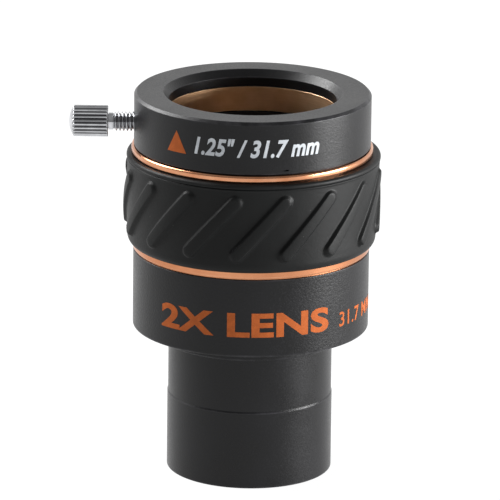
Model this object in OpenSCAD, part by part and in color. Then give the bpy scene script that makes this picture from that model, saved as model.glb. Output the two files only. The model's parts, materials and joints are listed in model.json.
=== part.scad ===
// Barlow lens, two times, in the 1.25 inch eyepiece format.
// Millimetres. +Z runs along the optical axis towards the eyepiece, the origin is the
// centre of the barrel's lower end, and the thumbscrew points towards -X.

/* [Nosepiece barrel] */
// Radius of the barrel's full-size land
barrel_r = 15.85; // [15.75:0.01:15.87]
// Radius of the shallow undercut above the land
undercut_r = 15.65; // [15.5:0.05:15.65]
// Height of the full-size land
land_h = 15; // [14:0.1:17]
// Height between the full-size land and the body's boss
undercut_h = 11.1; // [10:0.1:13]
// Inner radius of the barrel's tube
barrel_bore_r = 14.6; // [14.6:0.05:14.8]
// Crest radius of the M28.5 x 0.6 filter thread
filter_crest_r = 13.93; // [13.9:0.01:13.95]
// Root radius of the filter thread
filter_root_r = 14.25; // [14.2:0.01:14.28]
// Pitch of the filter thread
filter_pitch = 0.6; // [0.5:0.05:0.7]
// Turns of the filter thread
filter_turns = 7; // [5:1:7]

/* [Body] */
// Radius of the body's drum and of the collar
body_r = 22.6; // [22.2:0.1:23]
// Radius of the boss below the drum
boss_r = 17.6; // [17.2:0.1:18.2]
// Height of the boss
boss_h = 2.3; // [2:0.1:3]
// Height of the drum
drum_h = 15.2; // [14:0.1:18]
// Outer radius of the sleeve that carries the grip
sleeve_r = 21.6; // [21.2:0.1:21.8]
// Radius of the long bore through the body
body_bore_r = 17.55; // [17.55:0.05:17.8]
// Radius of the spigot that the collar screws on
spigot_r = 20.3; // [19.8:0.1:20.6]

/* [Accent rings] */
// Radius of the upper accent ring
upper_ring_r = 23.05; // [23:0.05:23.3]
// Height of the upper accent ring's bright band
upper_ring_h = 1.2; // [1:0.1:1.5]
// Radius of the lower accent ring
lower_ring_r = 22.7; // [22.65:0.05:23]
// Height of the lower accent ring that the grip leaves in view
lower_ring_h = 1.3; // [1:0.1:1.5]
// Width of the shadow gap beside each ring
shadow_gap = 0.2; // [0.15:0.01:0.3]

/* [Rubber grip] */
// Height of the rubber grip
grip_h = 17.5; // [17:0.1:19]
// Radius of the grip's wall at its top
grip_top_r = 24.05; // [23.9:0.05:24.2]
// Radius of the grip's wall at its bottom
grip_bottom_r = 23.8; // [23.7:0.05:23.9]
// Radius of the lip around the grip's top
grip_lip_r = 24.25; // [24.22:0.01:24.4]
// Number of slanted finger ribs
rib_count = 16; // [12:1:18]
// Width of a finger rib
rib_w = 2.5; // [2:0.1:3]
// Radius of the finger ribs' outer faces
rib_r = 24.6; // [24.45:0.05:24.8]
// Height between the centres of a rib's round ends
rib_rise = 10.2; // [9:0.1:11]
// Angle that a rib turns through between its two ends
rib_turn = 21.2; // [15:0.1:25]

/* [Collar] */
// Height of the collar
collar_h = 10.3; // [10.2:0.1:12]
// Width of the flat chamfer at the collar's outer top edge
collar_chamfer = 0.5; // [0.3:0.05:0.6]
// Radius of the eyepiece bore
eyepiece_r = 15.95; // [15.9:0.01:16]
// Radius of the bore's mouth at the collar's top
mouth_r = 17.1; // [16.8:0.1:18]
// Depth of the mouth's chamfer
mouth_h = 1.4; // [1:0.1:1.6]
// Height of the plain land between the mouth's chamfer and the compression ring's groove
land_below_mouth = 1.8; // [1.2:0.05:1.8]
// Radius of the groove that holds the compression ring
groove_r = 17.1; // [17.1:0.05:17.2]

/* [Compression ring] */
// Height of the split brass ring
clamp_h = 4.8; // [4.8:0.05:5.2]
// Wall of the split brass ring
clamp_t = 0.75; // [0.6:0.05:0.8]
// Width of the ring's slit
clamp_slit = 1.2; // [0.6:0.1:2]

/* [Thumbscrew] */
// Height of the screw's axis above the eyepiece tube's top
screw_rise = 2.15; // [2.1:0.05:2.4]
// Gap between the collar and the screw's head
screw_exposed = 4.9; // [4.9:0.1:7]
// Radius of the knurled head
head_r = 3; // [2.8:0.05:3.5]
// Length of the knurled head
head_len = 6.6; // [5:0.1:8]
// Height of the head's domed end
dome_h = 0.9; // [0.5:0.05:1.2]
// Number of knurled flutes
flute_count = 24; // [18:1:30]
// Depth of the flutes
flute_depth = 0.24; // [0.1:0.02:0.3]
// Crest radius of the M4 thread
thread_r = 1.9; // [1.85:0.01:1.92]
// Root radius of the M4 thread
thread_root_r = 1.47; // [1.4:0.01:1.55]
// Pitch of the M4 thread
thread_pitch = 0.7; // [0.6:0.05:0.8]

/* [Optics] */
// Radius of the three glass elements
glass_r = 12.5; // [12:0.1:12.6]
// Edge thickness of the front, middle and rear element
glass_edge = [3.8, 2.3, 2.7]; // [2:0.1:4]
// Curvature radii of the front element, lower face then upper face
front_curves = [85, 52]; // [50:1:200]
// Curvature radii of the middle element, lower face then upper face
middle_curves = [56, 95]; // [54:1:200]
// Curvature radii of the rear element, lower face then upper face
rear_curves = [140, 70]; // [60:1:200]
// Height of the spacers above the front and the middle element
spacer_h = [0.5, 0.7]; // [0.5:0.1:1.5]
// Inner radius of the cell's lip and the spacers
clear_r = 11.7; // [11:0.1:11.8]

/* [Hidden] */
$fn = 128;
thread_gap = 0.05;      // radial room in screwed and glued joints
edge = 0.25;            // usual edge break

// Heights, stacked up from the barrel's end
bevel_h = 0.3;
boss_z = land_h + undercut_h;
drum_z = boss_z + boss_h;
drum_top_z = drum_z + drum_h;
grip_z = drum_top_z + shadow_gap + lower_ring_h;
grip_top_z = grip_z + grip_h;
upper_ring_z = grip_top_z + shadow_gap;
collar_z = upper_ring_z + upper_ring_h;
total_h = collar_z + collar_h;
groove_top_z = total_h - mouth_h - land_below_mouth;
tube_top_z = groove_top_z - clamp_h - 0.25;
clamp_z = tube_top_z + 0.15;
screw_z = tube_top_z + screw_rise;

// Barrel seat inside the body
flange_z = drum_z + 2.4;
flange_h = 2;
lock_ring_h = 2.5;
baffle_z = flange_z + flange_h + lock_ring_h + 2.5;
baffle_h = 1.2;
tube_z = total_h - 32.5;
stop_z = tube_z + 2;
stop_r = 14;

// Lens stack, front element lowest
cell_z = edge + filter_turns * filter_pitch + 1.15;
cell_r = barrel_bore_r - thread_gap;
cell_lip_h = 1;
front_z = cell_z + cell_lip_h;
front_spacer_z = front_z + glass_edge[0];
middle_z = front_spacer_z + spacer_h[0];
rear_spacer_z = middle_z + glass_edge[1];
rear_z = rear_spacer_z + spacer_h[1];
retainer_z = rear_z + glass_edge[2];
retainer_h = 1.6;
cell_top_z = retainer_z + retainer_h;

// Thumbscrew stations along its own axis, from the optical axis outwards
tip_x = groove_r + 0.1;
head_x = body_r + screw_exposed;
neck_len = 1.05;
screw_hole_r = thread_r + 0.08;

// Set screws that lock the eyepiece tube, under the grip
set_screw_r = 1;
set_screw_len = 3.4;
set_screw_z = (grip_z + grip_top_z) / 2;
set_screw_angles = [30, 150, 270];

// Angle of the rib nearest the front, measured from -Y towards +X, at its upper end
rib_first = -7.9;
rib_low_z = grip_z + 3.7;

black_anodised = "#242428";
satin_black = "#2c2c30";
accent_orange = "#d07a45";
rubber_black = "#1e1e1f";

// ---- Shared shapes ----

module revolve(outline) {
    rotate_extrude() polygon(outline);
}

// A plain ring standing on z, its edges broken by c
module ring(outer, inner, z, h, c = 0.1) {
    revolve([
        [inner + c, z], [outer - c, z], [outer, z + c], [outer, z + h - c],
        [outer - c, z + h], [inner + c, z + h], [inner, z + h - c], [inner, z + c]
    ]);
}

// Two slots across a ring's upper face, for a pin spanner
module spanner_slots(inner, outer, z, width, depth) {
    for (side = [0, 180])
        rotate([0, 0, side])
            translate([inner, -width / 2, z - depth])
                cube([outer - inner, width, depth + 1]);
}

// Turns a shape drawn along +Z so that it lies along -X at the screw's height
module along_screw() {
    translate([0, 0, screw_z]) rotate([0, -90, 0]) children();
}

// Outline points of a V thread whose grooves sit at radius root and lands at crest
function v_thread(z, turns, pitch, crest, root) = [
    for (i = [0 : turns - 1], p = [[0.12, crest], [0.5, root], [0.88, crest]])
        [p[1], z + (i + p[0]) * pitch]
];

// ---- Nosepiece ----

module nosepiece_barrel() {
    flange_r = body_bore_r - 0.15;
    color(black_anodised)
        revolve(concat(
            [[filter_crest_r + edge, 0], [filter_crest_r, edge]],
            v_thread(edge, filter_turns, filter_pitch, filter_crest_r, filter_root_r),
            [
                [filter_crest_r, cell_z], [barrel_bore_r, cell_z],
                [barrel_bore_r, flange_z + flange_h], [flange_r, flange_z + flange_h],
                [flange_r, flange_z], [barrel_r, flange_z],
                [barrel_r, boss_z - bevel_h], [undercut_r, boss_z - 2 * bevel_h],
                [undercut_r, land_h + bevel_h], [barrel_r, land_h], [barrel_r, edge],
                [barrel_r - edge, 0]
            ]
        ));
}

module barrel_lock_ring() {
    color(satin_black)
        difference() {
            ring(body_bore_r - thread_gap, barrel_bore_r, flange_z + flange_h, lock_ring_h);
            spanner_slots(barrel_bore_r - 1, body_bore_r - 1.2,
                flange_z + flange_h + lock_ring_h, 1.6, 0.9);
        }
}

// ---- Body ----

module set_screw_holes(r) {
    for (a = set_screw_angles)
        rotate([0, 0, a])
            translate([body_bore_r - 1, 0, set_screw_z])
                rotate([0, 90, 0]) cylinder(r = r, h = 6);
}

module main_body() {
    spigot_top = tube_top_z - 0.15;
    boss_bore_r = barrel_r + thread_gap;
    color(black_anodised)
        difference() {
            revolve([
                [boss_bore_r, boss_z], [boss_r - edge, boss_z],
                [boss_r, boss_z + edge], [boss_r, drum_z],
                [body_r - edge, drum_z], [body_r, drum_z + edge],
                [body_r, drum_top_z - 0.1], [body_r - 0.1, drum_top_z],
                [sleeve_r, drum_top_z], [sleeve_r, upper_ring_z],
                [spigot_r, upper_ring_z], [spigot_r, spigot_top],
                [body_bore_r, spigot_top], [body_bore_r, flange_z],
                [boss_bore_r, flange_z]
            ]);
            set_screw_holes(set_screw_r + 0.02);
        }
}

module tube_set_screws() {
    socket_depth = 1.2;
    color("dimgray")
        for (a = set_screw_angles)
            rotate([0, 0, a])
                translate([body_bore_r, 0, set_screw_z])
                    rotate([0, 90, 0])
                        difference() {
                            cylinder(r = set_screw_r, h = set_screw_len);
                            translate([0, 0, set_screw_len - socket_depth])
                                cylinder(r = 0.52, h = socket_depth + 1, $fn = 6);
                        }
}

module light_baffle() {
    outer = body_bore_r - thread_gap;
    color(satin_black)
        difference() {
            revolve([
                [outer, baffle_z], [outer, baffle_z + baffle_h + 1.2],
                [outer - 1, baffle_z + baffle_h + 1.2], [outer - 1, baffle_z + baffle_h],
                [stop_r, baffle_z + 0.3], [stop_r, baffle_z]
            ]);
            spanner_slots(outer - 1.5, outer + 1, baffle_z + baffle_h + 1.2, 1.6, 0.8);
        }
}

module eyepiece_tube() {
    outer = body_bore_r - thread_gap;
    color(satin_black)
        revolve([
            [stop_r, tube_z], [outer - edge, tube_z], [outer, tube_z + edge],
            [outer, tube_top_z], [eyepiece_r, tube_top_z], [eyepiece_r, stop_z],
            [stop_r + 0.6, stop_z], [stop_r, stop_z - 0.6]
        ]);
}

// ---- Grip and accent rings ----

module lower_accent_ring() {
    bore = sleeve_r + thread_gap;
    top = grip_z + 0.4;
    foot = lower_ring_r - 0.45;
    color(accent_orange)
        revolve([
            [bore, drum_top_z], [foot, drum_top_z], [foot, drum_top_z + shadow_gap],
            [lower_ring_r - 0.1, drum_top_z + shadow_gap],
            [lower_ring_r, drum_top_z + shadow_gap + 0.1],
            [lower_ring_r, top - 0.1], [lower_ring_r - 0.1, top], [bore, top]
        ]);
}

module upper_accent_ring() {
    bore = sleeve_r + thread_gap;
    foot = upper_ring_r - 0.7;
    top = upper_ring_z + upper_ring_h;
    color(accent_orange)
        revolve([
            [bore, grip_top_z], [foot, grip_top_z], [foot, upper_ring_z],
            [upper_ring_r - 0.12, upper_ring_z], [upper_ring_r, upper_ring_z + 0.12],
            [upper_ring_r, top - 0.35], [upper_ring_r - 0.12, top - 0.12],
            [upper_ring_r - 0.4, top], [spigot_r + thread_gap, top],
            [spigot_r + thread_gap, upper_ring_z + 0.02], [bore, upper_ring_z + 0.02]
        ]);
}

// A slanted bar with round ends, cut out of the shell between the wall and the ribs' faces
module grip_rib() {
    run = 2 * grip_top_r * sin(rib_turn / 2);
    length = norm([run, rib_rise]);
    shell_r = grip_bottom_r - 0.6;
    rotate([0, 0, rib_first - rib_turn / 2 - 90])
        intersection() {
            difference() {
                translate([0, 0, grip_z]) cylinder(r = rib_r, h = grip_h);
                translate([0, 0, grip_z - 1]) cylinder(r = shell_r, h = grip_h + 2);
            }
            translate([0, -run / 2, rib_low_z])
                rotate([90, 0, 90])
                    linear_extrude(rib_r + 1)
                        rotate(atan2(rib_rise, run)) {
                            circle(d = rib_w);
                            translate([length, 0]) circle(d = rib_w);
                            translate([0, -rib_w / 2]) square([length, rib_w]);
                        }
        }
}

module grip_sleeve() {
    bore = sleeve_r + thread_gap;
    lip_z = grip_top_z - 0.9;
    ring_room_z = grip_z + 0.4 + thread_gap;
    color(rubber_black)
        union() {
            revolve([
                [lower_ring_r + thread_gap, grip_z], [grip_bottom_r - 0.95, grip_z],
                [grip_bottom_r - 0.5, grip_z + 0.45], [grip_bottom_r - 0.15, grip_z + 1.1],
                [grip_bottom_r, grip_z + 1.9],
                [grip_top_r, lip_z - 0.15], [grip_lip_r, lip_z],
                [grip_lip_r, grip_top_z - 0.6], [grip_lip_r - 0.25, grip_top_z - 0.2],
                [grip_lip_r - 0.85, grip_top_z], [bore, grip_top_z],
                [bore, ring_room_z], [lower_ring_r + thread_gap, ring_room_z]
            ]);
            for (i = [0 : rib_count - 1])
                rotate([0, 0, i * 360 / rib_count]) grip_rib();
        }
}

// ---- Collar and clamp ----

module eyepiece_collar() {
    relief_r = body_r - 0.45;
    relief_z = collar_z + shadow_gap;
    spigot_room_z = tube_top_z - 0.1;
    mark_angle = -73.8;
    color(black_anodised)
        difference() {
            revolve([
                [spigot_r + thread_gap, collar_z], [relief_r, collar_z],
                [relief_r, relief_z], [body_r - 0.08, relief_z], [body_r, relief_z + 0.08],
                [body_r, total_h - collar_chamfer], [body_r - collar_chamfer, total_h],
                [mouth_r, total_h], [eyepiece_r, total_h - mouth_h],
                [eyepiece_r, groove_top_z], [groove_r, groove_top_z],
                [groove_r, tube_top_z], [body_bore_r, tube_top_z],
                [body_bore_r, spigot_room_z], [spigot_r + thread_gap, spigot_room_z]
            ]);
            along_screw() {
                cylinder(r = screw_hole_r, h = body_r + 1);
                translate([0, 0, body_r - 0.35])
                    cylinder(r1 = screw_hole_r, r2 = screw_hole_r + 0.7, h = 0.7);
            }
            // Index notch at the collar's lower edge
            rotate([0, 0, mark_angle])
                translate([body_r - 0.35, -0.6, relief_z + 0.53]) cube([1, 1.2, 0.34]);
        }
}

module compression_ring() {
    inner = eyepiece_r;
    outer = inner + clamp_t;
    color("peru")
        difference() {
            ring(outer, inner, clamp_z, clamp_h, 0.12);
            rotate([0, 0, -60])
                translate([inner - 1, -clamp_slit / 2, clamp_z - 1])
                    cube([clamp_t + 2, clamp_slit, clamp_h + 2]);
        }
}

module thumbscrew_stud() {
    turns = floor((head_x - neck_len - tip_x - 0.5) / thread_pitch);
    thread_end = head_x - neck_len;
    thread_start = thread_end - turns * thread_pitch;
    color("gainsboro")
        along_screw()
            revolve(concat(
                [[0, tip_x], [thread_root_r - 0.3, tip_x], [thread_root_r, tip_x + 0.3]],
                [[thread_root_r, thread_start]],
                [
                    for (i = [0 : turns - 1], p = [[0.1, 0], [0.44, 1], [0.56, 1], [0.9, 0]])
                        [
                            thread_root_r + p[1] * (thread_r - thread_root_r),
                            thread_start + (i + p[0]) * thread_pitch
                        ]
                ],
                [
                    [thread_root_r, thread_end], [thread_root_r + 0.2, thread_end + 0.1],
                    [thread_root_r + 0.2, head_x - 0.15], [thread_root_r, head_x - 0.15],
                    [thread_root_r, head_x + 3], [0, head_x + 3]
                ]
            ));
}

// The knurled head's cross-section: flat lands between V flutes
module knurl_section() {
    step = 360 / flute_count;
    polygon([
        for (i = [0 : flute_count - 1], p = [[0, 0], [0.3, 0], [0.56, 1], [0.74, 1]])
            (head_r - p[1] * flute_depth) * [cos((i + p[0]) * step), sin((i + p[0]) * step)]
    ]);
}

module thumbscrew_head() {
    dome_base_r = head_r - 0.12;
    dome_sphere_r = (dome_base_r * dome_base_r + dome_h * dome_h) / (2 * dome_h);
    end_x = head_x + head_len;
    color("gainsboro")
        along_screw()
            difference() {
                union() {
                    intersection() {
                        translate([0, 0, head_x]) linear_extrude(head_len) knurl_section();
                        revolve([
                            [0, head_x], [head_r - 0.2, head_x], [head_r + 0.01, head_x + 0.21],
                            [head_r + 0.01, end_x - 0.21], [head_r - 0.2, end_x], [0, end_x]
                        ]);
                    }
                    intersection() {
                        translate([0, 0, end_x - 0.2]) cylinder(r = dome_base_r, h = dome_h + 1);
                        translate([0, 0, end_x + dome_h - dome_sphere_r])
                            sphere(r = dome_sphere_r);
                    }
                }
                translate([0, 0, head_x - 1]) cylinder(r = thread_root_r + 0.02, h = 4.05);
            }
}

// ---- Optics ----

module lens_cell() {
    bore = glass_r + thread_gap;
    color(satin_black)
        difference() {
            revolve([
                [clear_r + 0.5, cell_z], [cell_r - edge, cell_z], [cell_r, cell_z + edge],
                [cell_r, cell_top_z - edge], [cell_r - edge, cell_top_z],
                [bore, cell_top_z], [bore, front_z], [clear_r, front_z], [clear_r, cell_z + 0.5]
            ]);
            spanner_slots(bore + 0.4, cell_r + 1, cell_top_z, 1.5, 1);
        }
}

// A ball fine enough for a shallow optical face
module ground_ball(r) {
    sphere(r = r, $fn = 480);
}

// A glass disc on z whose lower and upper faces are hollowed to the given sphere radii
module hollow_ground(z, h, curves) {
    difference() {
        translate([0, 0, z]) cylinder(r = glass_r, h = h);
        translate([0, 0, z + sag(curves[0]) - curves[0]]) ground_ball(curves[0]);
        translate([0, 0, z + h - sag(curves[1]) + curves[1]]) ground_ball(curves[1]);
    }
}

// Height of a spherical face between its centre and the lens's clear edge
function sag(curve) = curve - sqrt(curve * curve - clear_r * clear_r);

module front_element() {
    color("lightcyan", 0.5) hollow_ground(front_z, glass_edge[0], front_curves);
}

module middle_element() {
    bulge = sag(middle_curves[0]);
    color("lightcyan", 0.5)
        difference() {
            union() {
                translate([0, 0, middle_z]) cylinder(r = glass_r, h = glass_edge[1]);
                intersection() {
                    translate([0, 0, middle_z - bulge]) cylinder(r = clear_r, h = bulge + 1);
                    translate([0, 0, middle_z - bulge + middle_curves[0]])
                        ground_ball(middle_curves[0]);
                }
            }
            translate([0, 0, middle_z + glass_edge[1] - sag(middle_curves[1]) + middle_curves[1]])
                ground_ball(middle_curves[1]);
        }
}

module rear_element() {
    color("lightcyan", 0.5) hollow_ground(rear_z, glass_edge[2], rear_curves);
}

module front_spacer() {
    color(satin_black) ring(glass_r, clear_r + 0.1, front_spacer_z, spacer_h[0], 0.05);
}

module rear_spacer() {
    color(satin_black) ring(glass_r, clear_r, rear_spacer_z, spacer_h[1], 0.05);
}

module lens_retaining_ring() {
    color(satin_black)
        difference() {
            ring(glass_r, clear_r - 0.5, retainer_z, retainer_h);
            spanner_slots(clear_r - 1, glass_r + 1, cell_top_z, 1.4, 0.8);
        }
}

nosepiece_barrel();
main_body();
barrel_lock_ring();
light_baffle();
eyepiece_tube();
tube_set_screws();
lower_accent_ring();
grip_sleeve();
upper_accent_ring();
eyepiece_collar();
compression_ring();
thumbscrew_stud();
thumbscrew_head();
lens_cell();
front_element();
front_spacer();
middle_element();
rear_spacer();
rear_element();
lens_retaining_ring();
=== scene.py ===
"""The looks of a two times barlow lens in the 1.25 inch format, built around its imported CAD.

Lengths are millimetres until a mesh is made, and metres from then on. Each turned piece is a
closed outline of (radius, height, rounding) corners, swept about the optical axis.
"""

import json
import math

import bmesh
import bpy
import numpy as np
from mathutils import Matrix, Vector


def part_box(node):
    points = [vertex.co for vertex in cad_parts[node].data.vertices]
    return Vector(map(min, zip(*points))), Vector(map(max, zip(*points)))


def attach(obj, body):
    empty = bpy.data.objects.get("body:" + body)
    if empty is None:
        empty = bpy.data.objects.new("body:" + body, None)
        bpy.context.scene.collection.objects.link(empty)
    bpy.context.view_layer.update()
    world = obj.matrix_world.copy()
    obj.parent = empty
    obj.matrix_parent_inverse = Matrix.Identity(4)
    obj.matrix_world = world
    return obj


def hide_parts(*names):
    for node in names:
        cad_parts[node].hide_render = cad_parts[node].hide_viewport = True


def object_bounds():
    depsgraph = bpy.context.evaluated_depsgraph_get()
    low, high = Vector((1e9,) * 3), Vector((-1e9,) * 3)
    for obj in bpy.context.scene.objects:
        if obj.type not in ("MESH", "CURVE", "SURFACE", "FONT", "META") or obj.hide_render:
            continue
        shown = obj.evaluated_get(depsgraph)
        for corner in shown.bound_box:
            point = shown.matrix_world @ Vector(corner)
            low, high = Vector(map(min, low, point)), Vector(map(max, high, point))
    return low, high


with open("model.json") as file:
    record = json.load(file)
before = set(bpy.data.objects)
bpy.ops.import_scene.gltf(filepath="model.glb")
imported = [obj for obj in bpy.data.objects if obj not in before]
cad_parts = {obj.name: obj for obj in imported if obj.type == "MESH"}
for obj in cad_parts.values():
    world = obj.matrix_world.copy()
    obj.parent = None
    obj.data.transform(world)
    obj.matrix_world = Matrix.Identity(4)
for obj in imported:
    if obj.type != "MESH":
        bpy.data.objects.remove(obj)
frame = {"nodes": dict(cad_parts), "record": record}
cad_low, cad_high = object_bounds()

MM = 0.001
TURN = 2 * math.pi
FINE = 256          # segments round a large turned piece
SOFTENING = 5       # segments in a rounded corner
RELIEF_GAP = 0.2    # height of the shadow gaps beside the accent rings
JOINT_GAP = 0.05    # radial room in screwed and glued joints
RING_UNDERCUT = 0.45    # how far a shadow gap is set back
THREAD_ROWS = 0.045     # height of the mesh rows along a threaded wall
ON_WALL = 1e-3          # a point this near a thread's radius is on its wall


# ---- Sizes, read from the frame ----

def span(node, axis=2):
    """A CAD node's lowest and highest place along an axis, in millimetres."""
    low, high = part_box(node)
    return low[axis] / MM, high[axis] / MM


def radius(node):
    """The outer radius of a CAD node turned about the optical axis, in millimetres."""
    return span(node, 0)[1]


def mount_radius(name):
    """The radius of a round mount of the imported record, in millimetres."""
    return next(m for m in frame["record"]["mounts"] if m["name"] == name)["dims"]["r_mm"]


# ---- Outlines and meshes ----

def rounded(corners, steps=SOFTENING, guard=0.18):
    """A dense closed outline from corners, and how exposed each of its points is, for edge wear
    and the painted edge highlight.

    A point a little way beyond each rounding keeps these off the face beside it.
    """
    xy = np.array([c[:2] for c in corners], float)
    following = np.roll(xy, -1, axis=0)
    area = np.sum(xy[:, 0] * following[:, 1] - following[:, 0] * xy[:, 1])
    points, worn = [], []
    for i, corner in enumerate(corners):
        size = corner[2] if len(corner) > 2 else 0
        here, before, after = xy[i], xy[i - 1], xy[(i + 1) % len(xy)]
        room = np.linalg.norm(before - here), np.linalg.norm(after - here)
        u, v = (before - here) / room[0], (after - here) / room[1]
        half = math.acos(np.clip(u @ v, -1, 1)) / 2
        if not size or abs(half - math.pi / 2) < 0.01:
            points.append(here)
            worn.append(0.0)
            continue
        reach = size / math.tan(half)
        centre = here + (u + v) / np.linalg.norm(u + v) * size / math.sin(half)
        first, last = here + u * reach - centre, here + v * reach - centre
        start = math.atan2(first[1], first[0])
        sweep = (math.atan2(last[1], last[0]) - start + math.pi) % TURN - math.pi
        if room[0] > 4 * (reach + guard):
            points.append(here + u * (reach + guard))
            worn.append(0.0)
        for a in np.linspace(start, start + sweep, steps + 1):
            points.append(centre + size * np.array([math.cos(a), math.sin(a)]))
            worn.append(float(area * (u[1] * v[0] - u[0] * v[1]) > 0))
        if room[1] > 4 * (reach + guard):
            points.append(here + v * (reach + guard))
            worn.append(0.0)
    points = np.array(points)
    if area < 0:
        points, worn = points[::-1], worn[::-1]
    return points, np.array(worn)


def grid_mesh(name, places, worn, closed_round=True):
    """A closed mesh from a grid of places, [round the axis][along the outline], in metres."""
    columns, rows = places.shape[:2]
    ids = np.arange(columns * rows).reshape(columns, rows)
    here, ahead = ids, np.roll(ids, -1, axis=0)
    if not closed_round:
        here, ahead = here[:-1], ahead[:-1]
    faces = np.stack([
        here, ahead, np.roll(ahead, -1, axis=1), np.roll(here, -1, axis=1)
    ], axis=-1).reshape(-1, 4).tolist()
    if not closed_round:
        faces += [ids[0][::-1].tolist(), ids[-1].tolist()]
    mesh = bpy.data.meshes.new(name)
    mesh.from_pydata(places.reshape(-1, 3).tolist(), [], faces)
    wear_highlight_and_shade_at = mesh.attributes.new("worn", "FLOAT", "POINT")
    worn = np.broadcast_to(worn, (columns, rows)).ravel()
    wear_highlight_and_shade_at.data.foreach_set("value", worn.astype(np.float32))
    bm = bmesh.new()
    bm.from_mesh(mesh)
    bmesh.ops.remove_doubles(bm, verts=bm.verts, dist=1e-8)
    bm.to_mesh(mesh)
    bm.free()
    return mesh


def turned(name, corners, segments=FINE, swell=None, hollow_shade=None, sweep=TURN, start=0.0):
    """A mesh turned about Z. swell(angle, radius, height) is added to the radius, and
    hollow_shade(angle, radius, height), from 0 to 1, is painted shade in hollows, stored as
    negative worn."""
    outline, worn = corners if isinstance(corners, tuple) else rounded(corners)
    whole = sweep >= TURN
    angles = start + sweep * np.arange(segments + (not whole)) / segments
    a = angles[:, None]
    r, z = outline[None, :, 0], outline[None, :, 1]
    grown = r + (swell(a, r, z) if swell else 0)
    places = np.stack(np.broadcast_arrays(grown * np.cos(a), grown * np.sin(a), z), axis=-1)
    if hollow_shade:
        worn = worn[None, :] - hollow_shade(a, r, z)
    return grid_mesh(name, places * MM, worn, whole)


def fill(start, end, step):
    """Places from start to end, both kept, no further apart than step."""
    return np.linspace(start, end, max(2, math.ceil(abs(end - start) / step) + 1))


def smoothstep(low, high, x):
    """0 up to low, 1 from high on, and a smooth rise between them."""
    t = np.clip((x - low) / (high - low), 0, 1)
    return t * t * (3 - 2 * t)


def placed(name, data):
    """A new object in the scene."""
    obj = bpy.data.objects.new(name, data)
    bpy.context.scene.collection.objects.link(obj)
    return obj


def carved(mesh, cutters):
    """The mesh with closed cutter meshes cut out of it."""
    target = placed("carving", mesh)
    tools = []
    for cutter in cutters:
        tool = placed("cutter", cutter)
        cut = target.modifiers.new("cut", "BOOLEAN")
        cut.operation, cut.solver, cut.object = "DIFFERENCE", "EXACT", tool
        tools.append(tool)
    evaluated = target.evaluated_get(bpy.context.evaluated_depsgraph_get())
    result = bpy.data.meshes.new_from_object(evaluated)
    result.materials.clear()
    for o in [target, *tools]:
        bpy.data.objects.remove(o)
    return result


def threaded(corners, wall_r, rows):
    """An outline whose last side is a straight wall at a radius, with these rows of points."""
    outline, worn = corners
    wall = np.stack([np.full_like(rows, wall_r), rows], axis=-1)
    return np.vstack([outline, wall]), np.append(worn, np.zeros(len(wall)))


def show(name, mesh, body, slot, material, *nodes, sharp=40):
    """Adds a finished mesh as a piece that rides a body and stands for CAD nodes."""
    mesh.materials.clear()
    mesh.materials.append(material)
    mesh.shade_smooth()
    mesh.set_sharp_from_angle(angle=math.radians(sharp))
    obj = placed(name, mesh)
    weighted = obj.modifiers.new("flat faces stay flat", "WEIGHTED_NORMAL")
    weighted.keep_sharp = True
    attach(obj, body)
    if nodes:
        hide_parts(*nodes)
    return obj


# ---- Materials ----

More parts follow.
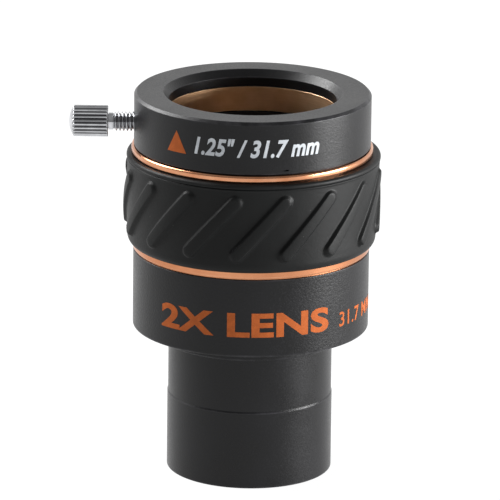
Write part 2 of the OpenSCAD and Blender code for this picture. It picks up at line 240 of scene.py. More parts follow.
class Finish:
    """A node material: one Principled shader and short calls that feed it."""

    def __init__(self, name, **sockets):
        self.material = bpy.data.materials.new(name)
        self.material.use_nodes = True
        self.nodes = self.material.node_tree.nodes
        self.links = self.material.node_tree.links
        self.shader = self.nodes["Principled BSDF"]
        for socket, value in sockets.items():
            self.shader.inputs[socket.replace("_", " ")].default_value = value
        self.place = self.add("ShaderNodeTexCoord").outputs["Object"]

    def add(self, kind, **inputs):
        node = self.nodes.new(kind)
        for key, value in inputs.items():
            self.feed(node.inputs[key.replace("_", " ")], value)
        return node

    def feed(self, socket, value):
        if isinstance(value, bpy.types.NodeSocket):
            self.links.new(value, socket)
        else:
            socket.default_value = value

    def math(self, operation, a, b=0.0):
        node = self.nodes.new("ShaderNodeMath")
        node.operation = operation
        self.feed(node.inputs[0], a)
        self.feed(node.inputs[1], b)
        return node.outputs[0]

    def noise(self, size, detail=3.0, rough=0.55, where=None):
        """Noise whose features are about size millimetres across."""
        node = self.add("ShaderNodeTexNoise", Vector=where or self.place,
                        Scale=1 / (size * MM), Detail=detail, Roughness=rough)
        return node.outputs["Fac"]

    def remap(self, value, low, high, to_low=0.0, to_high=1.0):
        node = self.add("ShaderNodeMapRange", Value=value, From_Min=low, From_Max=high,
                        To_Min=to_low, To_Max=to_high)
        return node.outputs["Result"]

    def blend(self, share, a, b):
        node = self.nodes.new("ShaderNodeMix")
        node.data_type = "RGBA"
        self.feed(node.inputs["Factor"], share)
        self.feed(node.inputs["A"], a)
        self.feed(node.inputs["B"], b)
        return node.outputs["Result"]

    def lathe_place(self):
        """Coordinates in which a mark left by turning runs round the optical axis."""
        xyz = self.add("ShaderNodeSeparateXYZ", Vector=self.place).outputs
        out = self.math("SQRT", self.math("ADD", self.math("MULTIPLY", xyz[0], xyz[0]),
                                          self.math("MULTIPLY", xyz[1], xyz[1])))
        drift, taper = 0.012, 1.7
        node = self.add("ShaderNodeCombineXYZ", X=self.math("MULTIPLY", xyz[0], drift),
                        Y=self.math("MULTIPLY", xyz[1], drift),
                        Z=self.math("ADD", xyz[2], self.math("MULTIPLY", out, taper)))
        return node.outputs[0]

    def bump(self, height, depth, strength=1.0, under=None):
        """A bump of the given depth in millimetres."""
        node = self.add("ShaderNodeBump", Height=height, Distance=depth * MM,
                        Strength=strength)
        if under is not None:
            self.feed(node.inputs["Normal"], under)
        return node.outputs["Normal"]

    def edge_wear_and_highlight(self, low, high, most):
        """Where an exposed edge has been rubbed or carries a painted highlight, from 0 to most."""
        edge = self.add("ShaderNodeAttribute")
        edge.attribute_name = "worn"
        patches = self.remap(self.noise(3.5, 3), low, high, 0.0, most)
        return self.math("MULTIPLY", self.math("MAXIMUM", edge.outputs["Fac"], 0.0), patches)

    def hollow_shade(self, most):
        """Painted shade darkening a hollow, from 0 to most."""
        hollow = self.add("ShaderNodeAttribute")
        hollow.attribute_name = "worn"
        depth = self.math("MULTIPLY", hollow.outputs["Fac"], -1.0)
        return self.math("MULTIPLY", self.math("MAXIMUM", depth, 0.0), most)

    def use(self, **sockets):
        for socket, value in sockets.items():
            self.feed(self.shader.inputs[socket.replace("_", " ")], value)
        return self.material


def colour(red, green, blue):
    """A shader colour from the display's 0 to 255."""
    def linear(v):
        v /= 255
        return v / 12.92 if v <= 0.04045 else ((v + 0.055) / 1.055) ** 2.4
    return (linear(red), linear(green), linear(blue), 1.0)


def anodised_black(name, roughness, grain_size, grain_depth):
    """Black anodised aluminium: bead-blasted grain, faint turned lines, and rubbed edges lightened
    further as a painted edge highlight.
    """
    f = Finish(name, Specular_IOR_Level=0.25)
    grain = f.noise(grain_size, 2, 0.6)
    lines = f.noise(0.09, 2, 0.5, f.lathe_place())
    cloud = f.noise(9, 3)
    tone = f.blend(f.remap(cloud, 0.35, 0.65), colour(11, 11, 12), colour(15, 15, 17))
    pale = f.math("MULTIPLY", f.remap(grain, 0.55, 0.75), 0.3)
    tone = f.blend(pale, tone, colour(34, 34, 37))
    # the edges go pale lavender grey: partly rubbed anodising, partly a painted highlight along
    # the chamfers
    tone = f.blend(f.edge_wear_and_highlight(0.35, 0.8, 0.3), tone, colour(88, 87, 92))
    normal = f.bump(grain, grain_depth, under=f.bump(lines, 0.003))
    gloss = f.math("ADD", f.remap(grain, 0.3, 0.7, -0.06, 0.06),
                   f.remap(cloud, 0.3, 0.7, roughness - 0.02, roughness + 0.03))
    return f.use(Base_Color=tone, Roughness=gloss, Normal=normal)


def matte_inside(name):
    """Flat black paint on threads, cell and rings inside the tube."""
    f = Finish(name, Specular_IOR_Level=0.25)
    lines = f.noise(0.2, 2, 0.5, f.lathe_place())
    grain = f.noise(0.16, 3)
    tone = f.blend(f.remap(f.noise(3), 0.3, 0.7), colour(15, 15, 16), colour(25, 24, 25))
    normal = f.bump(grain, 0.012, under=f.bump(lines, 0.015))
    return f.use(Base_Color=tone, Roughness=f.remap(grain, 0.3, 0.7, 0.5, 0.68), Normal=normal)


def turned_metal(name, base, shade, rub, roughness, line_size, line_depth):
    """Bare or dyed metal with turned lines, slight smudges and rubbed edges."""
    f = Finish(name, Metallic=1.0)
    lines = f.noise(line_size, 3, 0.6, f.lathe_place())
    smudge = f.noise(6, 3, 0.5)
    tone = f.blend(f.remap(smudge, 0.3, 0.7), base, shade)
    tone = f.blend(f.math("MULTIPLY", f.remap(lines, 0.45, 0.75), 0.5), tone, shade)
    tone = f.blend(f.edge_wear_and_highlight(0.3, 0.8, 0.5), tone, rub)
    gloss = f.math("ADD", f.remap(lines, 0.3, 0.7, -0.04, 0.04),
                   f.remap(smudge, 0.3, 0.7, roughness - 0.02, roughness + 0.02))
    return f.use(Base_Color=tone, Roughness=gloss, Normal=f.bump(lines, line_depth))


def plated(name, base, shade, roughness):
    """Bright plating with finger smudges, a few pores, painted shade in its hollows and a slight
    ripple under it.
    """
    f = Finish(name, Metallic=1.0)
    smudge = f.noise(2.2, 4, 0.6)
    pores = f.noise(0.18, 2)
    tone = f.blend(f.remap(smudge, 0.35, 0.7), base, shade)
    tone = f.blend(f.math("MULTIPLY", f.remap(pores, 0.62, 0.8), 0.4), tone, shade)
    # painted shade: hollows such as thread roots and flute floors are darkened towards dark grey
    tone = f.blend(f.hollow_shade(0.9), tone, colour(38, 38, 40))
    gloss = f.remap(f.math("ADD", smudge, f.math("MULTIPLY", pores, 0.4)), 0.5, 0.9,
                    roughness - 0.04, roughness + 0.06)
    return f.use(Base_Color=tone, Roughness=gloss, Normal=f.bump(f.noise(1.8, 1), 0.0012))


def grip_rubber(name):
    """Moulded rubber: a fine matte grain, a slight bloom and a few specks of dust."""
    f = Finish(name, Specular_IOR_Level=0.17)
    grain = f.noise(0.24, 3, 0.6)
    pores = f.noise(0.8, 2)
    bloom = f.noise(7, 4)
    tone = f.blend(f.remap(bloom, 0.35, 0.7), colour(9, 10, 10), colour(15, 16, 16))
    specks = f.add("ShaderNodeTexVoronoi", Vector=f.place, Scale=1 / (1.3 * MM))
    speck = f.math("LESS_THAN", specks.outputs["Distance"], 0.06)
    rare = f.math("GREATER_THAN", f.noise(2.3, 1), 0.6)
    tone = f.blend(f.math("MULTIPLY", f.math("MULTIPLY", speck, rare), 0.5), tone,
                   colour(96, 95, 92))
    tone = f.blend(f.edge_wear_and_highlight(0.4, 0.8, 0.3), tone, colour(48, 48, 47))
    normal = f.bump(grain, 0.022, under=f.bump(pores, 0.02))
    gloss = f.remap(f.math("ADD", grain, f.math("MULTIPLY", bloom, 0.5)), 0.5, 1.0, 0.42, 0.56)
    return f.use(Base_Color=tone, Roughness=gloss, Normal=normal)


def printed(name, ink, thin):
    """Screen-printed ink with the weave of the screen and slightly thin patches."""
    f = Finish(name, Specular_IOR_Level=0.05)
    screen = f.noise(0.12, 2)
    patch = f.noise(1.5, 3)
    tone = f.blend(f.remap(f.math("MULTIPLY", patch, screen), 0.2, 0.42), thin, ink)
    return f.use(Base_Color=tone, Roughness=f.remap(screen, 0.3, 0.7, 0.42, 0.58),
                 Normal=f.bump(screen, 0.01))


def coated_glass(name):
    """Optical glass under a thin coating that reflects green and magenta, with faint dust."""
    f = Finish(name, Transmission_Weight=1.0, IOR=1.52, Thin_Film_Thickness=430.0,
               Thin_Film_IOR=1.38)
    dust = f.noise(0.5, 4, 0.7)
    tone = f.blend(f.remap(f.noise(8), 0.3, 0.7), (0.93, 0.98, 0.95, 1), (0.97, 0.96, 0.99, 1))
    return f.use(Base_Color=tone, Roughness=f.remap(dust, 0.6, 0.8, 0.01, 0.05),
                 Normal=f.bump(f.noise(3, 1), 0.0006))


body_black = anodised_black("body_black", 0.36, 0.32, 0.026)
drum_black = anodised_black("drum_black", 0.36, 0.4, 0.042)
barrel_black = anodised_black("barrel_black", 0.33, 0.3, 0.018)
inner_black = matte_inside("inner_black")
orange_metal = turned_metal("orange_metal", colour(206, 142, 104), colour(188, 124, 88),
                            colour(226, 176, 142), 0.22, 0.12, 0.0012)
brass = turned_metal("brass", colour(238, 198, 158), colour(206, 164, 124), colour(240, 212, 182),
                     0.42, 0.2, 0.03)
chrome = plated("chrome", colour(206, 207, 210), colour(182, 183, 186), 0.11)
dark_steel = plated("dark_steel", colour(84, 84, 88), colour(60, 60, 62), 0.3)
rubber = grip_rubber("rubber")
white_ink = printed("white_ink", colour(196, 200, 204), colour(172, 176, 181))
orange_ink = printed("orange_ink", colour(172, 90, 46), colour(150, 78, 40))
glass = coated_glass("glass")


# ---- Nosepiece barrel ----

barrel_r = mount_radius("nosepiece")
thread_crest = mount_radius("filter_thread")
flange_r = radius("nosepiece_barrel")
barrel_top = span("nosepiece_barrel")[1]
boss_z, spigot_z = span("main_body")
cell_low = span("lens_cell")[0]
cell_r = radius("lens_cell")
BARREL_UNDERCUT = 0.14
LAND_HEIGHT = 15.0
STEP_RISE = 0.3
FLANGE_HEIGHT = 2.0
FILTER_PITCH = 0.6
FILTER_DEPTH = 0.32
FILTER_TURNS = 7
FILTER_HALF = 0.36      # half of the groove's width, as a share of the pitch
FILTER_STEEP = 1.25     # above 1, the groove has a flat floor
FILTER_LEAD = 0.3       # chamfer at the thread's mouth
FILTER_FADE = (0.25, 0.6, -0.2, 0.4)    # from the rim up, then about the last turn


def filter_thread(a, r, z):
    """The groove of the filter thread, fading out at both of its ends."""
    end = FILTER_TURNS * FILTER_PITCH
    phase = (z / FILTER_PITCH - a / TURN) % 1
    groove = np.clip(FILTER_STEEP - np.abs(phase - 0.5) / FILTER_HALF * FILTER_STEEP, 0, 1)
    on_wall = np.abs(r - thread_crest) < ON_WALL
    near, full, dim, gone = FILTER_FADE
    fade = smoothstep(near, full, z) * (1 - smoothstep(end + dim, end + gone, z))
    return FILTER_DEPTH * groove * fade * on_wall


bore_r = cell_r + JOINT_GAP
undercut_r = barrel_r - BARREL_UNDERCUT
barrel = threaded(rounded([
    (thread_crest + FILTER_LEAD, 0, 0.06), (barrel_r, 0, 0.22), (barrel_r, LAND_HEIGHT, 0.1),
    (undercut_r, LAND_HEIGHT + STEP_RISE, 0.1), (undercut_r, boss_z - 2 * STEP_RISE, 0.1),
    (barrel_r, boss_z - STEP_RISE, 0.1), (barrel_r, barrel_top - FLANGE_HEIGHT, 0.1),
    (flange_r, barrel_top - FLANGE_HEIGHT, 0.1), (flange_r, barrel_top, 0.15),
    (bore_r, barrel_top, 0.15), (bore_r, cell_low), (thread_crest, cell_low)
]), thread_crest, fill(cell_low, FILTER_LEAD, THREAD_ROWS)[1:])
show("barrel", turned("barrel", barrel, swell=filter_thread), "barlow_body",
     "black_anodised", barrel_black, "nosepiece_barrel", sharp=50)


# ---- Body ----

body_r = radius("main_body")
drum_top = span("lower_accent_ring")[0]
tube_r = radius("eyepiece_tube")
grip_low, grip_high = span("grip_sleeve")
BOSS_R = 17.6
BOSS_HEIGHT = 2.3
SPIGOT_R = 20.3
SLEEVE_R = 21.6
SET_SCREW_ANGLES = (30, 150, 270)
SET_SCREW_HOLE = 1.02
DRILL_LENGTH = 6

drum_z = boss_z + BOSS_HEIGHT
flange_z = barrel_top - FLANGE_HEIGHT
body = turned("body", [
    (barrel_r + JOINT_GAP, boss_z, 0.05), (BOSS_R, boss_z, 0.25), (BOSS_R, drum_z, 0.12),
    (body_r, drum_z, 0.32), (body_r, drum_top, 0.12), (SLEEVE_R, drum_top, 0.05),
    (SLEEVE_R, grip_high + RELIEF_GAP, 0.1), (SPIGOT_R, grip_high + RELIEF_GAP, 0.1),
    (SPIGOT_R, spigot_z, 0.2), (tube_r + JOINT_GAP, spigot_z, 0.05),
    (tube_r + JOINT_GAP, flange_z), (barrel_r + JOINT_GAP, flange_z)
])
set_screw_z = sum(span("tube_set_screws")) / 2
drills = []
for degrees in SET_SCREW_ANGLES:
    drill = turned("drill", [(0, 0), (SET_SCREW_HOLE, 0), (SET_SCREW_HOLE, DRILL_LENGTH),
                             (0, DRILL_LENGTH)], segments=32)
    drill.transform(Matrix.Rotation(math.radians(degrees), 4, "Z")
                    @ Matrix.Translation(Vector((tube_r - 1, 0, set_screw_z)) * MM)
                    @ Matrix.Rotation(math.pi / 2, 4, "Y"))
    drills.append(drill)
show("body", carved(body, drills), "barlow_body", "black_anodised", drum_black, "main_body")


# ---- Accent rings ----

ring_r = radius("lower_accent_ring")
ring_low, ring_high = span("lower_accent_ring")
ring_bore = SLEEVE_R + JOINT_GAP
foot_r = ring_r - RING_UNDERCUT
FOOT_GAP = 0.36     # shadow line between the drum and the lower ring
CROWN_UNDERCUT = 0.7
show("lower_ring", turned("lower_ring", [
    (ring_bore, ring_low, 0.04), (foot_r, ring_low), (foot_r, ring_low + FOOT_GAP),
    (ring_r, ring_low + FOOT_GAP, 0.12), (ring_r, ring_high, 0.08), (ring_bore, ring_high, 0.08)
]), "barlow_body", "orange_anodised", orange_metal, "lower_accent_ring")

crown_r = radius("upper_accent_ring")
crown_low, crown_high = span("upper_accent_ring")
crown_foot = crown_r - CROWN_UNDERCUT
step_z = crown_low + RELIEF_GAP
seat_z = step_z + 0.02
show("upper_ring", turned("upper_ring", [
    (ring_bore, crown_low), (crown_foot, crown_low), (crown_foot, step_z),
    (crown_r, step_z, 0.15), (crown_r, crown_high, 0.42),
    (SPIGOT_R + JOINT_GAP, crown_high, 0.08), (SPIGOT_R + JOINT_GAP, seat_z),
    (ring_bore, seat_z)
]), "barlow_body", "orange_anodised", orange_metal, "upper_accent_ring")


# ---- Rubber grip ----

RIB_COUNT = 16
RIB_WIDTH = 2.5
RIB_RISE = 10.2
RIB_TURN = math.radians(21.2)
RIB_FIRST = math.radians(-90 - 7.9)     # the upper end of the rib nearest the front
RIB_LOW = 3.7           # height of a rib's lower end above the grip's foot
RIB_FLANK = 0.66        # width over which a rib rises from the wall
RIB_CROWN = 0.1         # share of its height that a rib loses towards its sides
WALL_LOW_R = 23.78
WALL_HIGH_R = 24.12
LIP_R = 24.25
LIP_HEIGHT = 0.88
LIP_EDGE = 0.55         # rounding of the lip's upper edge
LIP_GROOVE = 0.1        # depth of the fine groove below the lip
LIP_GROOVE_WIDTH = 0.1
LIP_BEAD = 0.07         # height of the rounded edge under that groove
LIP_BEAD_WIDTH = 0.14
LIP_BEAD_DROP = 0.27
FOOT_ROUND = 1.5        # height of the rounding at the grip's foot
FOOT_DEPTH = 1.0        # how far that rounding draws in
FOOT_EASE = 0.02        # the wall's last narrowing above it
SLEEVE_LEAN = 0.27      # how far the soft sleeve stands off centre at its top
LEAN_START = 0.3        # share of the sleeve's height at which it begins to lean
FLANK_REACH = 0.45      # mesh columns crowd this near to a rib's edge

rib_face_r = radius("grip_sleeve")
rib_base = grip_low + RIB_LOW
rib_top = rib_base + RIB_RISE
lip_z = grip_high - LIP_HEIGHT
rib_slope = RIB_TURN / RIB_RISE
rib_run = RIB_TURN * WALL_HIGH_R
rib_axis = np.array([rib_run, RIB_RISE]) / math.hypot(rib_run, RIB_RISE)
rib_length = math.hypot(rib_run, RIB_RISE)


def grip_wall(z):
    """The grip's outer radius between its ribs, without the roundings at its two ends."""
    up = (z - grip_low) / (grip_high - grip_low)
    wall = WALL_LOW_R + (WALL_HIGH_R - WALL_LOW_R) * up
    groove = LIP_GROOVE * np.exp(-((z - lip_z) / LIP_GROOVE_WIDTH) ** 2)
    bead = LIP_BEAD * np.exp(-((z - lip_z + LIP_BEAD_DROP) / LIP_BEAD_WIDTH) ** 2)
    return np.where(z > lip_z, LIP_R, wall) - groove + bead


def rib_height(across, up):
    """Share of a rib's full height, from the distance to the line through its two ends."""
    along = np.clip(across * rib_axis[0] + up * rib_axis[1], 0, rib_length)
    away = np.hypot(across - along * rib_axis[0], up - along * rib_axis[1])
    rise = 1 - smoothstep(RIB_WIDTH / 2 - RIB_FLANK / 2, RIB_WIDTH / 2 + RIB_FLANK / 2, away)
    crown = 1 - RIB_CROWN * np.clip(away / (RIB_WIDTH / 2), 0, 1) ** 2
    return rise * crown


def grip_columns():
    """Places round the axis at a rib's lower end, crowded at the ribs' flanks."""
    pitch = TURN / RIB_COUNT * WALL_HIGH_R
    flank = RIB_WIDTH / 2 / rib_axis[1]
    side = np.concatenate([
        np.linspace(0, flank - FLANK_REACH, 5)[:-1],
        np.linspace(flank - FLANK_REACH, flank + FLANK_REACH, 10),
        np.linspace(flank + FLANK_REACH, pitch / 2, 7)[1:]
    ])
    column = np.unique(np.concatenate([-side[:-1], side]).round(6))
    return (RIB_FIRST - RIB_TURN + np.arange(RIB_COUNT)[:, None] * TURN / RIB_COUNT
            + column[None, :] / WALL_HIGH_R).ravel()


def grip_mesh():
    """The sleeve as a grid whose columns lean with the ribs."""
    columns = grip_columns()
    skin_z = np.concatenate([
        fill(grip_low + FOOT_ROUND, rib_base - 1.6, 0.4), fill(rib_base - 1.5, rib_base + 1, 0.16),
        fill(rib_base + 1.5, rib_top - 1.5, 0.5), fill(rib_top - 1, rib_top + 1.5, 0.16),
        fill(rib_top + 1.6, lip_z - 0.3, 0.2), fill(lip_z - 0.25, lip_z + 0.2, 0.04),
        fill(lip_z + 0.25, grip_high - LIP_EDGE, 0.1)
    ])
    quarter = np.linspace(0, math.pi / 2, 9)
    foot = np.stack([WALL_LOW_R - FOOT_DEPTH + FOOT_DEPTH * np.sin(quarter),
                     grip_low + FOOT_ROUND * (1 - np.cos(quarter))], axis=-1)[:-1]
    skin = np.stack([grip_wall(skin_z), skin_z], axis=-1)
    skin[:, 0] -= FOOT_EASE * (1 - smoothstep(grip_low + FOOT_ROUND, grip_low + 3, skin_z))
    shoulder = np.stack([LIP_R - LIP_EDGE + LIP_EDGE * np.cos(quarter),
                         grip_high - LIP_EDGE + LIP_EDGE * np.sin(quarter)], axis=-1)[1:]
    bore = ring_r + JOINT_GAP
    room_z = ring_high + JOINT_GAP
    inside = np.array([[ring_bore, grip_high], [ring_bore, room_z], [bore, room_z],
                       [bore, grip_low]])
    outline = np.vstack([foot, skin, shoulder, inside])
    outer_points = len(foot) + len(skin)
    skin_points = outer_points + len(shoulder)
    row = np.arange(len(outline))[None, :]
    worn = ((row >= outer_points) & (row < skin_points)).astype(float)
    z = outline[None, :, 1]
    angle = columns[:, None] + rib_slope * (z - rib_base)
    home = (columns[:, None] - (RIB_FIRST - RIB_TURN) + math.pi / RIB_COUNT) % (TURN / RIB_COUNT)
    across = (home - math.pi / RIB_COUNT + rib_slope * (z - rib_base)) * WALL_HIGH_R
    share = rib_height(across, np.broadcast_to(z - rib_base, across.shape))
    wall = outline[None, :, 0]
    grown = wall + share * (row < outer_points) * np.maximum(rib_face_r - wall, 0)
    lean = SLEEVE_LEAN * smoothstep(LEAN_START, 1, (z - grip_low) / (grip_high - grip_low))
    aside = lean * (row < skin_points)
    places = np.stack(np.broadcast_arrays(grown * np.cos(angle) + aside, grown * np.sin(angle), z),
                      -1)
    return grid_mesh("grip", places * MM, worn)


show("grip", grip_mesh(), "barlow_body", "grip_rubber", rubber, "grip_sleeve", sharp=60)


# ---- Thumbscrew ----

screw_z = sum(span("thumbscrew_stud")) / 2
stud_far, stud_tip = (-v for v in span("thumbscrew_stud", 0))
head_end, head_face = (-v for v in span("thumbscrew_head", 0))
stud_r = (span("thumbscrew_stud")[1] - span("thumbscrew_stud")[0]) / 2
head_r = (span("thumbscrew_head")[1] - span("thumbscrew_head")[0]) / 2
along_screw = Matrix.Translation((0, 0, screw_z * MM)) @ Matrix.Rotation(-math.pi / 2, 4, "Y")
THREAD_PITCH = 0.7
THREAD_ROOT = 1.47
NECK_LENGTH = 1.05
NECK_R = 1.67
NECK_SINK = 0.1         # how far the neck's corners stand off its two ends
TIP_LEAD = 0.4          # plain length at the screw's tip
TIP_ROUND = 0.3
CREST_SHARES = (0.05, 0.42)     # a crest's flat and its foot, as shares of the pitch
# how strongly painted shade darkens the root of the screw's thread
THREAD_ROOT_SHADE = 0.75
DOME_HEIGHT = 0.9
DOME_STEP = 0.12        # how far the dome stands inside the head's edge
DOME_ROWS = 14
FLUTES = 24
FLUTE_DEPTH = 0.24
FLUTE_SHARES = (0.08, 0.36)     # a flute's floor and its edge, as shares of its pitch
HEAD_BORE_DEPTH = 3.05
HEAD_BORE_ROOM = 0.02

neck_x = head_face - NECK_LENGTH
thread_start = stud_tip + TIP_LEAD
thread_end = neck_x - 0.05
crest_height = stud_r - THREAD_ROOT
head_bore = THREAD_ROOT + HEAD_BORE_ROOM
knurl_end = head_end - DOME_HEIGHT


def screw_thread(a, r, x):
    """The crest of the M4 thread, fading out at the screw's tip and at its neck."""
    phase = np.abs((x / THREAD_PITCH - a / TURN) % 1 - 0.5)
    crest = 1 - smoothstep(*CREST_SHARES, phase)
    fade = (smoothstep(thread_start, thread_start + 0.5, x)
            * (1 - smoothstep(thread_end - 0.25, thread_end, x)))
    return crest_height * crest * fade * (np.abs(r - THREAD_ROOT) < ON_WALL)


def thread_root_shade(a, r, x):
    """Painted shade lies at the root between the thread's crests."""
    crest = screw_thread(a, r, x) / crest_height
    return (THREAD_ROOT_SHADE * (1 - smoothstep(0.0, 0.5, crest))
            * ((x > thread_start) & (x < thread_end)))


shank = threaded(rounded([
    (THREAD_ROOT, neck_x), (NECK_R, neck_x + NECK_SINK, 0.05),
    (NECK_R, head_face - NECK_SINK - 0.02, 0.05), (THREAD_ROOT, head_face - NECK_SINK),
    (THREAD_ROOT, stud_far, 0.1), (0, stud_far), (0, stud_tip),
    (THREAD_ROOT, stud_tip, TIP_ROUND)
]), THREAD_ROOT, fill(stud_tip + TIP_ROUND + 0.05, neck_x, THREAD_ROWS)[1:-1])
stud = turned("stud", shank, segments=72, swell=screw_thread, hollow_shade=thread_root_shade)
stud.transform(along_screw)
show("screw_stud", stud, "screw_stud", "bright_chrome", chrome, "thumbscrew_stud", sharp=60)


def flute_depth(a, r, x):
    """Share of a flute's depth, between lands and run out at the head's two faces."""
    phase = np.abs((a / TURN * FLUTES) % 1 - 0.5)
    depth = 1 - smoothstep(*FLUTE_SHARES, phase)
    cut = smoothstep(head_r - 0.75, head_r - 0.2, r)
    return depth * cut * (x < knurl_end + 0.02)


def flutes(a, r, x):
    """The flutes cut into the head."""
    return -FLUTE_DEPTH * flute_depth(a, r, x)


def flute_shade(a, r, x):
    """Painted shade lies where the flutes are deep."""
    return smoothstep(0.3, 0.9, flute_depth(a, r, x))


dome_base = head_r - DOME_STEP
dome_ball = (dome_base ** 2 + DOME_HEIGHT ** 2) / (2 * DOME_HEIGHT)
dome_angles = np.linspace(math.asin(dome_base / dome_ball), 0, DOME_ROWS)
dome = np.stack([dome_ball * np.sin(dome_angles),
                 head_end - dome_ball + dome_ball * np.cos(dome_angles)], axis=-1)
knurl, worn = rounded([
    (0, head_face + HEAD_BORE_DEPTH), (head_bore, head_face + HEAD_BORE_DEPTH),
    (head_bore, head_face, 0.08), (head_r - 0.8, head_face), (head_r, head_face, 0.2),
    (head_r, knurl_end, 0.14), (dome_base, knurl_end)
])
outline, worn = np.vstack([knurl, dome]), np.append(worn, np.zeros(len(dome)))
head = turned("head", (outline, worn), segments=FLUTES * 14, swell=flutes, hollow_shade=flute_shade)
head.transform(along_screw)
show("screw_head", head, "screw_head", "bright_chrome", chrome, "thumbscrew_head", sharp=35)


# ---- Collar and clamp ----

bore = mount_radius("eyepiece_socket")
clamp_low, clamp_high = span("compression_ring")
clamp_r = radius("compression_ring")
collar_r = radius("eyepiece_collar")
collar_low, collar_high = span("eyepiece_collar")
tube_low, tube_high = span("eyepiece_tube")
COLLAR_CHAMFER = 0.5
MOUTH_R = 17.1
MOUTH_DEPTH = 1.4
GROOVE_R = 17.1
SCREW_HOLE = 1.98
COUNTERSINK = 0.7
SLIT_ANGLE = math.radians(-60)
SLIT_WIDTH = 1.2
MARK_ANGLE = math.radians(-73.8)
MARK_WIDTH = 1.25
MARK_HEIGHT = 0.34
MARK_RISE = 0.7
MARK_DEPTH = 0.35
CLAMP_ROOM = 0.1        # room above the brass ring and above the body's spigot
HOLE_START, HOLE_END = 12, collar_r + 2

gap_z = collar_low + RELIEF_GAP
undercut = collar_r - RING_UNDERCUT
room_z = clamp_high + CLAMP_ROOM
collar = turned("collar", [
    (SPIGOT_R + JOINT_GAP, collar_low), (undercut, collar_low), (undercut, gap_z),
    (collar_r, gap_z, 0.1), (collar_r, collar_high - COLLAR_CHAMFER, 0.1),
    (collar_r - COLLAR_CHAMFER, collar_high, 0.1),
    (MOUTH_R, collar_high, 0.12), (bore, collar_high - MOUTH_DEPTH, 0.12),
    (bore, room_z, 0.05), (GROOVE_R, room_z), (GROOVE_R, tube_high),
    (tube_r + JOINT_GAP, tube_high), (tube_r + JOINT_GAP, tube_high - CLAMP_ROOM),
    (SPIGOT_R + JOINT_GAP, tube_high - CLAMP_ROOM)
])
sink_r = SCREW_HOLE + COUNTERSINK
hole = turned("hole", [
    (0, HOLE_START), (SCREW_HOLE, HOLE_START), (SCREW_HOLE, collar_r - COUNTERSINK / 2),
    (sink_r, collar_r + COUNTERSINK / 2), (sink_r, HOLE_END), (0, HOLE_END)
], segments=64)
hole.transform(along_screw)
mark = turned("mark", [(0, -MARK_DEPTH), (MARK_HEIGHT / 2, -MARK_DEPTH),
                       (MARK_HEIGHT / 2, MARK_DEPTH), (0, MARK_DEPTH)], segments=24)
mark.transform(Matrix.Rotation(MARK_ANGLE, 4, "Z")
               @ Matrix.Translation(Vector((collar_r, 0, gap_z + MARK_RISE)) * MM)
               @ Matrix.Diagonal((1, MARK_WIDTH / MARK_HEIGHT, 1, 1))
               @ Matrix.Rotation(math.pi / 2, 4, "Y"))
show("collar", carved(collar, [hole, mark]), "barlow_body", "black_anodised", body_black,
     "eyepiece_collar")

half_slit = SLIT_WIDTH / 2 / bore
show("clamp", turned("clamp", [
    (bore, clamp_low, 0.12), (clamp_r, clamp_low, 0.12), (clamp_r, clamp_high, 0.12),
    (bore, clamp_high, 0.04)
], sweep=TURN - 2 * half_slit, start=SLIT_ANGLE + half_slit), "clamp_ring", "brass", brass,
     "compression_ring")


# ---- Eyepiece tube and glass ----

STOP_R = 14
STOP_HEIGHT = 2
BAFFLE_PITCH = 0.5
BAFFLE_DEPTH = 0.09
BAFFLE_SLOPE = 0.45     # share of the pitch over which a groove deepens
STOP_CHAMFER = 0.6
GLASS_MARGIN = 0.8      # flat rim of a lens outside its clear face

stop_z = tube_low + STOP_HEIGHT
corners = [
    (STOP_R, tube_low, 0.05), (tube_r, tube_low, 0.2), (tube_r, tube_high, 0.05),
    (bore, tube_high, 0.05)
]
for i in range(int((tube_high - stop_z - 3) / BAFFLE_PITCH)):
    z = tube_high - 1 - i * BAFFLE_PITCH
    corners += [(bore, z), (bore + BAFFLE_DEPTH, z - BAFFLE_PITCH * BAFFLE_SLOPE)]
corners += [(bore, stop_z + 1), (bore, stop_z, 0.1), (STOP_R + STOP_CHAMFER, stop_z),
            (STOP_R, stop_z - STOP_CHAMFER)]
show("tube", turned("tube", corners, segments=192), "barlow_body", "inner_black", inner_black,
     "eyepiece_tube", sharp=25)


def lens(node, low_ball, high_ball):
    """A glass element between two spherical faces. A face bulges downwards for a negative ball."""
    clear = radius("rear_spacer") - GLASS_MARGIN
    rim = radius(node)
    low, high = span(node)

    def depth(r, ball):
        return abs(ball) - math.sqrt(ball * ball - r * r)

    radii = np.linspace(0, clear, 16)
    if low_ball > 0:
        under = [(r, low + depth(clear, low_ball) - depth(r, low_ball)) for r in radii]
        edge_z = low
    else:
        under = [(r, low + depth(r, low_ball)) for r in radii]
        edge_z = low + depth(clear, low_ball)
    over = [(r, high - depth(clear, high_ball) + depth(r, high_ball)) for r in radii[::-1]]
    edge = rounded([(clear, edge_z), (rim, edge_z, 0.12), (rim, high, 0.12), (clear, high)])[0]
    outline = np.vstack([under[:-1], edge, over[1:]])
    return turned(node, (outline, np.zeros(len(outline))), segments=128)


for node, balls in {"front_element": (85, 52), "middle_element": (-56, 95),
                    "rear_element": (140, 70)}.items():
    show("glass_" + node.split("_")[0], lens(node, *balls), "barlow_body", "coated_glass", glass,
         node, sharp=30)


# ---- Plain inner parts keep their CAD shapes ----

for node in ("barrel_lock_ring", "light_baffle", "lens_cell", "front_spacer", "rear_spacer",
             "lens_retaining_ring", "tube_set_screws"):
    mesh = frame["nodes"][node].data
    mesh.materials.clear()
    mesh.materials.append(dark_steel if node == "tube_set_screws" else inner_black)


# ---- Printing ----

INK = 0.03              # how far the ink stands proud
INK_BEND = 0.4          # width of the strips that bend round the body
COLLAR_CAPS = 3.1       # height of the collar's figures
DRUM_CAPS = 4.85
SMALL_CAPS = 2.95
DRUM_BASELINE = 3.9     # height of the drum's lettering above the drum's lower edge


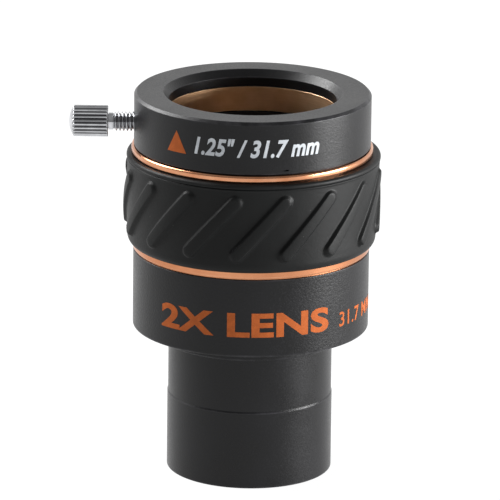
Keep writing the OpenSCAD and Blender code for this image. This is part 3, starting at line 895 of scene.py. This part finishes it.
def wrapped(name, curve, angle, z, r, size, material, slot):
    """Wraps a flat curve or text round the body, to a size and centred on angle and z."""
    source = placed("print", curve)
    evaluated = source.evaluated_get(bpy.context.evaluated_depsgraph_get())
    mesh = bpy.data.meshes.new_from_object(evaluated)
    bpy.data.objects.remove(source)
    bm = bmesh.new()
    bm.from_mesh(mesh)
    bmesh.ops.remove_doubles(bm, verts=bm.verts, dist=1e-5)
    for axis, length in enumerate(size):
        places = [v.co[axis] for v in bm.verts]
        low, high = min(places), max(places)
        for v in bm.verts:
            v.co[axis] = ((v.co[axis] - low) / (high - low) - 0.5) * length
    width = size[0]
    for x in np.arange(-width / 2 + INK_BEND, width / 2, INK_BEND):
        bmesh.ops.bisect_plane(bm, geom=bm.verts[:] + bm.edges[:] + bm.faces[:],
                               plane_co=(x, 0, 0), plane_no=(1, 0, 0))
    for v in bm.verts:
        a = angle + v.co.x / r
        out = r + (INK if v.co.z > 0 else -INK / 3)
        v.co = Vector((out * math.sin(a), -out * math.cos(a), z + v.co.y)) * MM
    bm.to_mesh(mesh)
    bm.free()
    show(name, mesh, "barlow_body", slot, material, sharp=30)


def lettering(text, weight, lean):
    """Flat text in Blender's own face."""
    curve = bpy.data.curves.new("lettering", "FONT")
    curve.body, curve.offset, curve.shear = text, weight, lean
    curve.space_character = 1.04
    curve.extrude, curve.resolution_u = 0.02, 6
    return curve


def shape(points):
    """A flat closed curve through points."""
    curve = bpy.data.curves.new("shape", "CURVE")
    curve.dimensions, curve.fill_mode, curve.extrude = "2D", "BOTH", 0.02
    line = curve.splines.new("POLY")
    line.points.add(len(points) - 1)
    for p, (x, y) in zip(line.points, points):
        p.co = (x, y, 0, 1)
    line.use_cyclic_u = True
    return curve


collar_print_z = (gap_z + collar_high) / 2
wrapped("collar_numbers", lettering('1.25" / 31.7 mm', 0.03, 0.25), math.radians(2.5),
        collar_print_z, collar_r, (24.6, COLLAR_CAPS * 1.16), white_ink, "white_print")
wrapped("collar_mark", shape([(0, 0), (4, 0), (2, 3.6)]), math.radians(-39), collar_print_z,
        collar_r, (4.5, 4.2), orange_ink, "orange_print")
wrapped("drum_numbers", lettering("2X LENS", 0.035, 0), math.radians(-3.5),
        drum_z + DRUM_BASELINE + DRUM_CAPS / 2, body_r, (35, DRUM_CAPS), orange_ink,
        "orange_print")
wrapped("drum_small_numbers", lettering("31.7 MM", 0.012, 0), math.radians(66),
        drum_z + DRUM_BASELINE + SMALL_CAPS / 2, body_r, (14, SMALL_CAPS), orange_ink,
        "orange_print")


# ---- Floor, light and camera ----

VIEW_ELEVATION = math.radians(16.817)
VIEW_DISTANCE = 1.1643
VIEW_ROLL = math.radians(0.675)
LENS = 436.96
SENSOR = 36
AIM_ABOVE = 5.74        # the photograph's centre is this far above the object's middle
AIM_ASIDE = -0.22
FLOOR_SIZE = 12.0
PAPER_GLOW = 0.93       # the floor is lit from below, so no shadow shows on it
RIGHT_RADIANCE = 38.0
LEFT_RADIANCE = 14.0
BACKDROP = 1.1
CEILING = 0.35
ROOM_HIGH = 0.3
ROOM_LOW = 0.25

floor_mesh = bpy.data.meshes.new("floor")
half = FLOOR_SIZE / 2
floor_mesh.from_pydata([(-half, -half, 0), (half, -half, 0), (half, half, 0), (-half, half, 0)],
                       [], [(0, 1, 2, 3)])
paper = Finish("paper", Specular_IOR_Level=0.0, Roughness=0.9, Emission_Color=(1, 1, 1, 1),
               Emission_Strength=PAPER_GLOW)
floor_mesh.materials.append(paper.use(Base_Color=paper.blend(
    paper.noise(60), (0.1, 0.1, 0.1, 1), (0.12, 0.12, 0.12, 1))))
floor = placed("floor", floor_mesh)

axis_middle = Vector((0, 0, (cad_low.z + cad_high.z) / 2))


def soft_light(name, azimuth, elevation, distance, width, height, radiance):
    """A soft box that faces the object. Azimuth 0 is the camera's side, and 90 its right."""
    lamp = bpy.data.lights.new(name, "AREA")
    lamp.shape, lamp.size, lamp.size_y = "RECTANGLE", width, height
    lamp.energy = radiance * math.pi * width * height
    obj = placed(name, lamp)
    a, e = math.radians(azimuth), math.radians(elevation)
    away = Vector((math.sin(a) * math.cos(e), -math.cos(a) * math.cos(e), math.sin(e)))
    obj.location = axis_middle + away * distance
    obj.rotation_euler = (-away).to_track_quat("-Z", "Y").to_euler()
    obj.visible_camera = False


soft_light("right_box", azimuth=78, elevation=5, distance=0.5, width=0.3, height=0.16,
           radiance=RIGHT_RADIANCE)
soft_light("left_box", azimuth=-116, elevation=38, distance=0.6, width=0.36, height=0.36,
           radiance=LEFT_RADIANCE)

# The studio round the object: a white backdrop, a dim ceiling and a dark room behind the camera
world = bpy.data.worlds.new("studio")
bpy.context.scene.world = world
world.use_nodes = True
tree = world.node_tree
direction = tree.nodes.new("ShaderNodeTexCoord").outputs["Generated"]
split = tree.nodes.new("ShaderNodeSeparateXYZ")
tree.links.new(direction, split.inputs[0])


def world_ramp(value, low, high, to_low, to_high):
    """A smooth step of one part of the direction."""
    node = tree.nodes.new("ShaderNodeMapRange")
    node.interpolation_type = "SMOOTHSTEP"
    for socket, item in zip(node.inputs, (value, low, high, to_low, to_high)):
        if isinstance(item, bpy.types.NodeSocket):
            tree.links.new(item, socket)
        else:
            socket.default_value = item
    return node.outputs["Result"]


room = world_ramp(split.outputs["Z"], 0.2, 0.4, ROOM_LOW, ROOM_HIGH)
walls = world_ramp(split.outputs["Y"], -0.25, 0.35, room, BACKDROP)
tree.links.new(world_ramp(split.outputs["Z"], 0.5, 0.8, walls, CEILING),
               tree.nodes["Background"].inputs["Strength"])
tree.nodes["Background"].inputs["Color"].default_value = (1, 1, 1, 1)

camera_data = bpy.data.cameras.new("camera")
camera_data.lens, camera_data.sensor_width = LENS, SENSOR
camera_data.clip_start, camera_data.clip_end = 0.05, 20
camera = placed("camera", camera_data)
camera.location = axis_middle + VIEW_DISTANCE * Vector(
    (0, -math.cos(VIEW_ELEVATION), math.sin(VIEW_ELEVATION)))
aim = axis_middle + Vector((AIM_ASIDE, 0, AIM_ABOVE)) * MM
camera.rotation_mode = "QUATERNION"
camera.rotation_quaternion = (aim - camera.location).to_track_quat("-Z", "Y") @ Matrix.Rotation(
    VIEW_ROLL, 3, "Z").to_quaternion()
bpy.context.scene.camera = camera
bpy.context.scene.view_settings.view_transform = "Standard"
